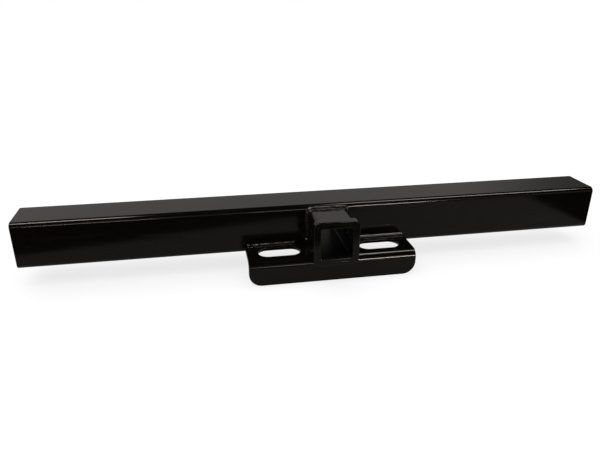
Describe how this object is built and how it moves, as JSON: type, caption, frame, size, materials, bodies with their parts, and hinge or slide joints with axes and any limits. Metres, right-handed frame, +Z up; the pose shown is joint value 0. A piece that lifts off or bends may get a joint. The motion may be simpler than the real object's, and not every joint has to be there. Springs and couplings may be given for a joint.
{
  "type": "trailer hitch receiver",
  "caption": "Welded rear hitch: a long square cross tube with a square receiver socket through it, a collar round its mouth, and a folded safety-chain plate with slots.",
  "frame": {"origin": "centre of the hitch pin hole, on the receiver's own axis", "axes": "+X along the cross tube and the pin hole, the receiver's mouth faces -Y, +Z up as fitted to a vehicle"},
  "size_m": [0.978, 0.1555, 0.1076],
  "materials": {
    "black_coat": "gloss black powder coat over mild steel",
    "coated_weld": "gloss black powder coat over a rippled weld bead"
  },
  "bodies": {
    "root": {"cross_tube": "black_coat", "receiver_tube": "black_coat", "receiver_collar": "black_coat", "safety_chain_plate": "black_coat", "receiver_front_weld": "coated_weld", "receiver_rear_weld": "coated_weld", "collar_weld": "coated_weld", "plate_weld_left": "coated_weld", "plate_weld_right": "coated_weld", "side_weld_left": "coated_weld", "side_weld_right": "coated_weld"}
  },
  "joints": []
}
